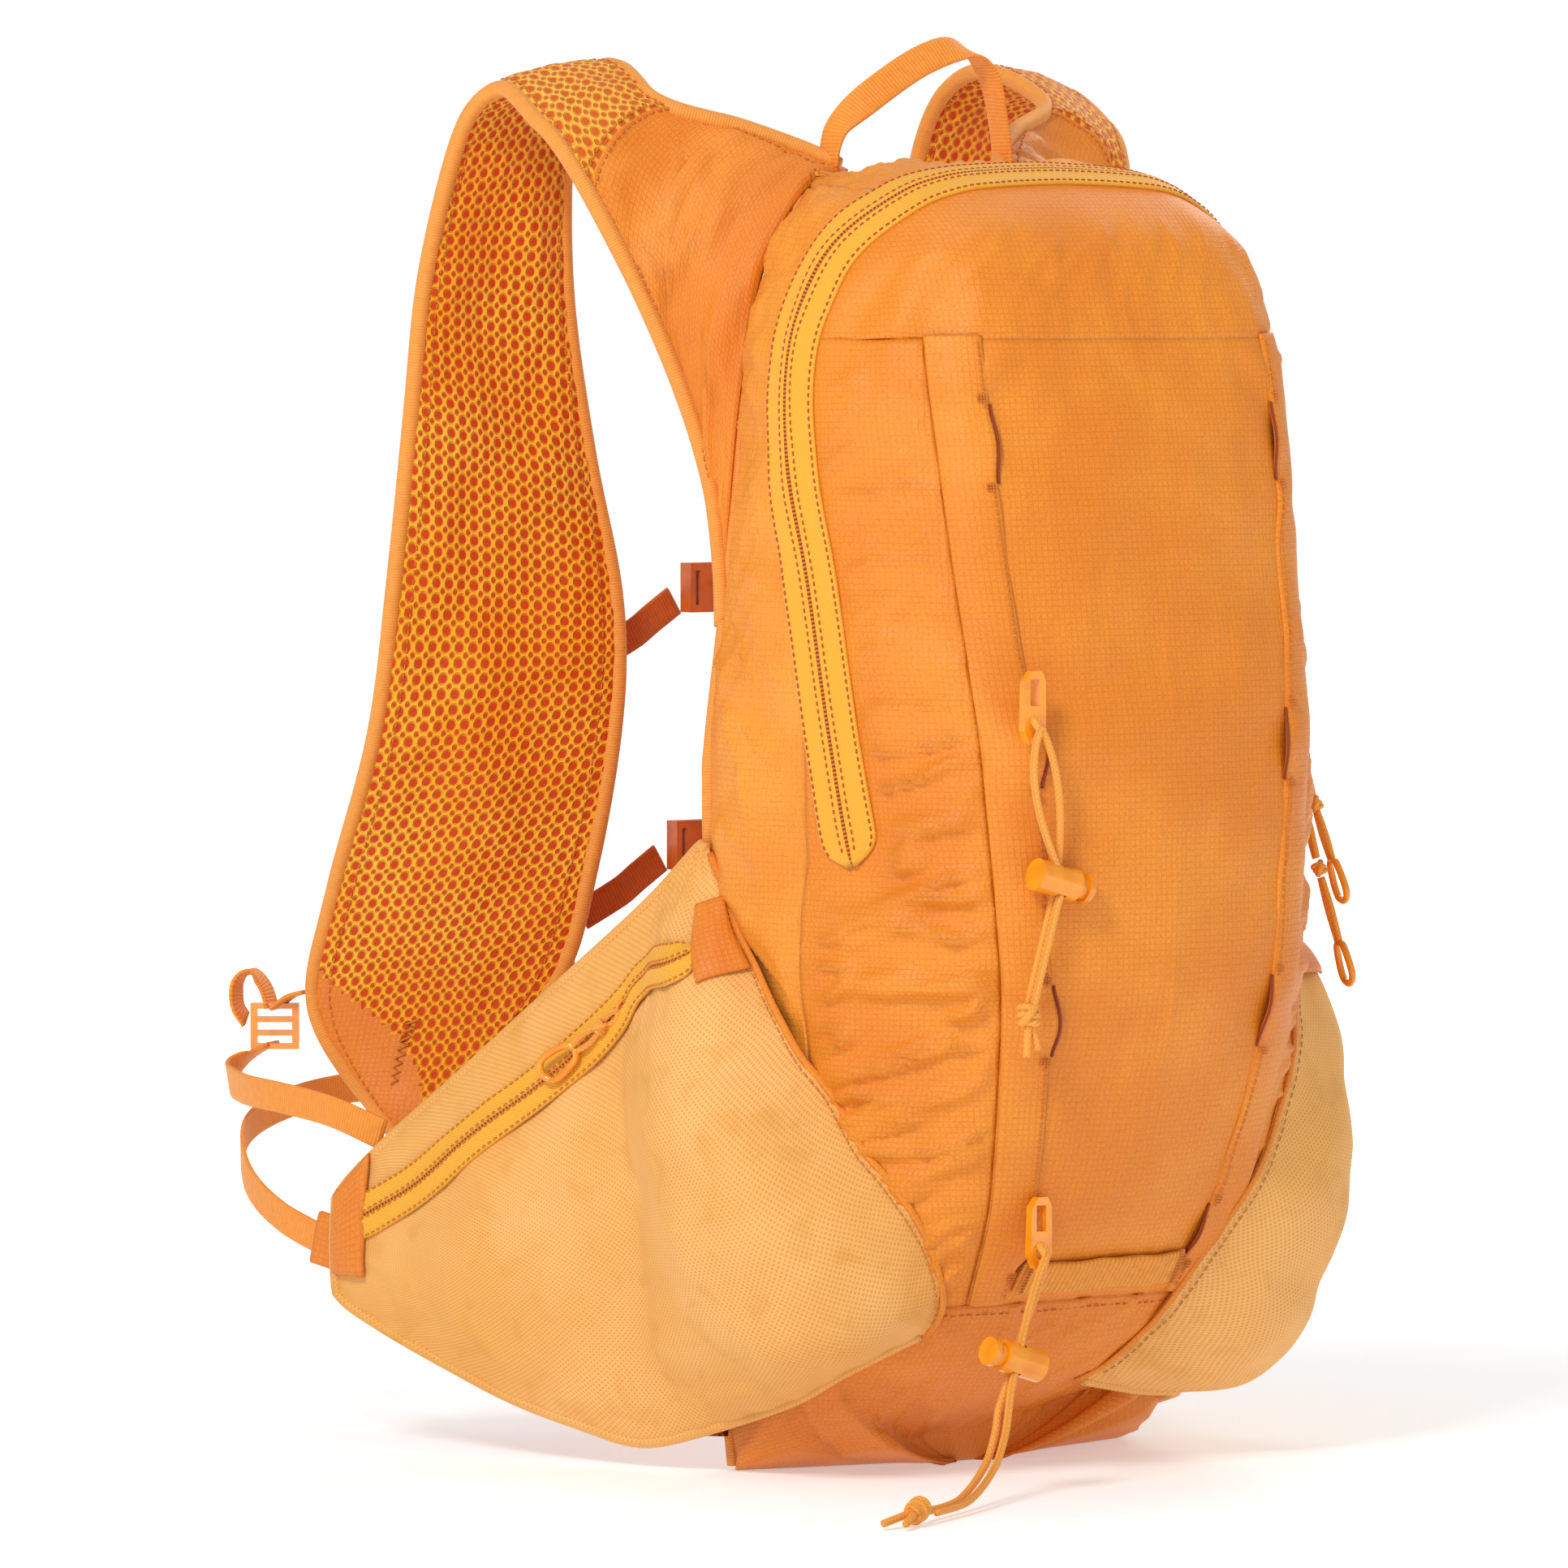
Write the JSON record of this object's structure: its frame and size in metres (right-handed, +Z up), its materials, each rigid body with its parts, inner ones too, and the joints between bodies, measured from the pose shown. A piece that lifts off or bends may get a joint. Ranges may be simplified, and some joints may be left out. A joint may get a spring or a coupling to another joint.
{
  "type": "daypack",
  "caption": "Small trail-running daypack with vest straps, wrap-around zipped main pocket, zipped hip wings, chest straps, waist belt and shock-cord pole keepers.",
  "frame": {"origin": "on the floor, under the middle of the flat patch that the pack stands on", "axes": "+Z up, -Y out of the pack front, +Y towards the wearer, X across the pack, symmetry plane at X = 0 for the bag and harness"},
  "size_m": [0.2982, 0.3898, 0.4459],
  "materials": {
    "ripstop": "orange ripstop nylon with a fine square grid and a soft sheen",
    "ripstop_dark": "the same ripstop in the shaded side, base and yoke panels",
    "stretch_mesh": "light orange stretch mesh, matt",
    "spacer_mesh": "bright orange 3-D spacer mesh with oval openings",
    "zip_tape": "golden twill zip tape with a dark red coil line",
    "webbing": "orange ribbed webbing and shock cord",
    "chest_webbing": "darker burnt-orange elastic webbing",
    "foam": "pale closed-cell foam",
    "amber_plastic": "glossy amber acetal",
    "burnt_plastic": "satin burnt-orange acetal",
    "spring_steel": "bright spring wire",
    "slider_metal": "painted die-cast slider, satin"
  },
  "bodies": {
    "bag": {"front_panel": "ripstop", "top_panel": "ripstop", "left_outer_panel": "ripstop", "right_outer_panel": "ripstop", "left_side_panel": "ripstop_dark", "right_side_panel": "ripstop_dark", "base_panel": "ripstop_dark", "back_panel": "spacer_mesh", "back_foam": "foam", "hydration_sleeve": "ripstop_dark", "yoke": "ripstop_dark", "main_zip_tape": "zip_tape", "left_daisy_strip": "ripstop_dark", "right_daisy_strip": "ripstop_dark", "bottom_band": "webbing", "left_pocket_panel": "stretch_mesh", "right_pocket_panel": "stretch_mesh"},
    "haul_loop": {"haul_loop": "webbing"},
    "left_strap": {"left_strap": "spacer_mesh", "left_strap_pocket": "stretch_mesh", "left_adjuster_webbing": "webbing"},
    "right_strap": {"right_strap": "spacer_mesh", "right_strap_pocket": "stretch_mesh", "right_adjuster_webbing": "webbing"},
    "left_ladder_lock": {"left_ladder_lock": "amber_plastic"},
    "right_ladder_lock": {"right_ladder_lock": "amber_plastic"},
    "left_wing": {"left_wing": "stretch_mesh", "left_hip_zip_tape": "zip_tape", "left_belt_webbing": "webbing", "belt_buckle_female": "amber_plastic"},
    "right_wing": {"right_wing": "stretch_mesh", "right_hip_zip_tape": "zip_tape", "right_belt_webbing": "webbing"},
    "belt_buckle_male": {"belt_buckle_male": "amber_plastic"},
    "left_hip_slider": {"left_hip_slider": "slider_metal"},
    "right_hip_slider": {"right_hip_slider": "slider_metal"},
    "left_hip_pull": {"left_hip_pull": "amber_plastic"},
    "right_hip_pull": {"right_hip_pull": "amber_plastic"},
    "upper_main_slider": {"upper_main_slider": "slider_metal"},
    "lower_main_slider": {"lower_main_slider": "slider_metal"},
    "upper_main_pull": {"upper_main_pull": "amber_plastic"},
    "lower_main_pull": {"lower_main_pull": "amber_plastic"},
    "upper_cord_lock": {"upper_cord_lock": "amber_plastic", "upper_lock_spring": "spring_steel"},
    "lower_cord_lock": {"lower_cord_lock": "amber_plastic", "lower_lock_spring": "spring_steel"},
    "upper_lock_plunger": {"upper_lock_plunger": "amber_plastic"},
    "lower_lock_plunger": {"lower_lock_plunger": "amber_plastic"},
    "upper_sternum_right": {"upper_sternum_right": "chest_webbing"},
    "lower_sternum_right": {"lower_sternum_right": "chest_webbing"},
    "upper_buckle_male": {"upper_buckle_male": "burnt_plastic"},
    "lower_buckle_male": {"lower_buckle_male": "burnt_plastic"},
    "upper_cord_hook": {"upper_cord_hook": "amber_plastic", "upper_cord": "webbing"},
    "lower_cord_hook": {"lower_cord_hook": "amber_plastic", "lower_cord": "webbing"},
    "upper_sternum_left": {"upper_sternum_left": "chest_webbing", "upper_buckle_female": "burnt_plastic"},
    "lower_sternum_left": {"lower_sternum_left": "chest_webbing", "lower_buckle_female": "burnt_plastic"}
  },
  "joints": [
    {"name": "left_strap_swing", "type": "hinge", "parent": "bag", "child": "left_strap", "pos_m": [-0.092, 0.062, 0.42], "axis": [1, 0, 0], "range_deg": [-2, 15]},
    {"name": "right_strap_swing", "type": "hinge", "parent": "bag", "child": "right_strap", "pos_m": [0.092, 0.062, 0.42], "axis": [1, 0, 0], "range_deg": [-2, 15]},
    {"name": "left_wing_fold", "type": "hinge", "parent": "bag", "child": "left_wing", "pos_m": [-0.08, 0.019, 0.09], "axis": [0, 0, 1], "range_deg": [0, 20]},
    {"name": "right_wing_fold", "type": "hinge", "parent": "bag", "child": "right_wing", "pos_m": [0.08, 0.019, 0.09], "axis": [0, 0, -1], "range_deg": [0, 20]},
    {"name": "haul_loop_fold", "type": "hinge", "parent": "bag", "child": "haul_loop", "pos_m": [0, 0.024, 0.41], "axis": [1, 0, 0], "range_deg": [-30, 45]},
    {"name": "left_ladder_tilt", "type": "hinge", "parent": "left_strap", "child": "left_ladder_lock", "pos_m": [-0.114, 0.224, 0.135], "axis": [0.8192, -0.5736, 0], "range_deg": [0, 40]},
    {"name": "right_ladder_tilt", "type": "hinge", "parent": "right_strap", "child": "right_ladder_lock", "pos_m": [0.114, 0.224, 0.135], "axis": [0.8192, 0.5736, 0], "range_deg": [0, 40]},
    {"name": "belt_buckle_clip", "type": "slide", "parent": "right_wing", "child": "belt_buckle_male", "axis": [-1, 0, 0], "range_m": [0, 0.0155]},
    {"name": "left_hip_zip_travel", "type": "slide", "parent": "left_wing", "child": "left_hip_slider", "axis": [-0.4401, 0.6469, -0.6228], "range_m": [0, 0.02]},
    {"name": "right_hip_zip_travel", "type": "slide", "parent": "right_wing", "child": "right_hip_slider", "axis": [0.4401, 0.6469, -0.6228], "range_m": [0, 0.02]},
    {"name": "left_hip_pull_lift", "type": "hinge", "parent": "left_hip_slider", "child": "left_hip_pull", "pos_m": [-0.10217, 0.0263, 0.15082], "axis": [0.3503, -0.5149, -0.7824], "range_deg": [-90, 0]},
    {"name": "right_hip_pull_lift", "type": "hinge", "parent": "right_hip_slider", "child": "right_hip_pull", "pos_m": [0.10217, 0.0263, 0.15082], "axis": [0.3503, 0.5149, 0.7824], "range_deg": [-90, 0]},
    {"name": "upper_main_zip_travel", "type": "slide", "parent": "bag", "child": "upper_main_slider", "axis": [0.0559, 0.1825, 0.9816], "range_m": [0, 0.05]},
    {"name": "lower_main_zip_travel", "type": "slide", "parent": "bag", "child": "lower_main_slider", "axis": [-0.0559, -0.1825, -0.9816], "range_m": [0, 0.008]},
    {"name": "upper_main_pull_lift", "type": "hinge", "parent": "upper_main_slider", "child": "upper_main_pull", "pos_m": [0.09122, -0.05271, 0.228], "axis": [0.2698, 0.9438, -0.1908], "range_deg": [-70, 0]},
    {"name": "lower_main_pull_lift", "type": "hinge", "parent": "lower_main_slider", "child": "lower_main_pull", "pos_m": [0.09026, -0.05581, 0.21131], "axis": [0.2698, 0.9438, -0.1908], "range_deg": [-12, 0]},
    {"name": "upper_hook_swing", "type": "hinge", "parent": "bag", "child": "upper_cord_hook", "pos_m": [-0.055, -0.1125, 0.248], "axis": [0, 1, 0], "range_deg": [-20, 20]},
    {"name": "lower_hook_swing", "type": "hinge", "parent": "bag", "child": "lower_cord_hook", "pos_m": [-0.0365, -0.091, 0.086], "axis": [0, 1, 0], "range_deg": [-15, 15]},
    {"name": "upper_lock_travel", "type": "slide", "parent": "upper_cord_hook", "child": "upper_cord_lock", "axis": [-0.2651, 0.0241, -0.9639], "range_m": [-0.004, 0.02]},
    {"name": "lower_lock_travel", "type": "slide", "parent": "lower_cord_hook", "child": "lower_cord_lock", "axis": [-0.3029, -0.0433, -0.952], "range_m": [-0.004, 0.006]},
    {"name": "upper_plunger_press", "type": "slide", "parent": "upper_cord_lock", "child": "upper_lock_plunger", "axis": [-0.9642, 0, 0.2652], "range_m": [0, 0.0028]},
    {"name": "lower_plunger_press", "type": "slide", "parent": "lower_cord_lock", "child": "lower_lock_plunger", "axis": [0.9529, 0, -0.3032], "range_m": [0, 0.0028]},
    {"name": "upper_chest_left_slide", "type": "slide", "parent": "left_strap", "child": "upper_sternum_left", "axis": [0, 0, 1], "range_m": [-0.02, 0.02]},
    {"name": "upper_chest_right_slide", "type": "slide", "parent": "right_strap", "child": "upper_sternum_right", "axis": [0, 0, 1], "range_m": [-0.02, 0.02]},
    {"name": "lower_chest_left_slide", "type": "slide", "parent": "left_strap", "child": "lower_sternum_left", "axis": [0, 0, 1], "range_m": [-0.02, 0.02]},
    {"name": "lower_chest_right_slide", "type": "slide", "parent": "right_strap", "child": "lower_sternum_right", "axis": [0, 0, 1], "range_m": [-0.02, 0.02]},
    {"name": "upper_chest_buckle_release", "type": "slide", "parent": "upper_sternum_right", "child": "upper_buckle_male", "axis": [1, 0, 0], "range_m": [0, 0.016]},
    {"name": "lower_chest_buckle_release", "type": "slide", "parent": "lower_sternum_right", "child": "lower_buckle_male", "axis": [1, 0, 0], "range_m": [0, 0.016]}
  ],
  "couplings": [
    {"joint": "right_strap_swing", "follows": "left_strap_swing", "ratio": 1},
    {"joint": "upper_chest_right_slide", "follows": "upper_chest_left_slide", "ratio": 1},
    {"joint": "lower_chest_right_slide", "follows": "lower_chest_left_slide", "ratio": 1}
  ]
}
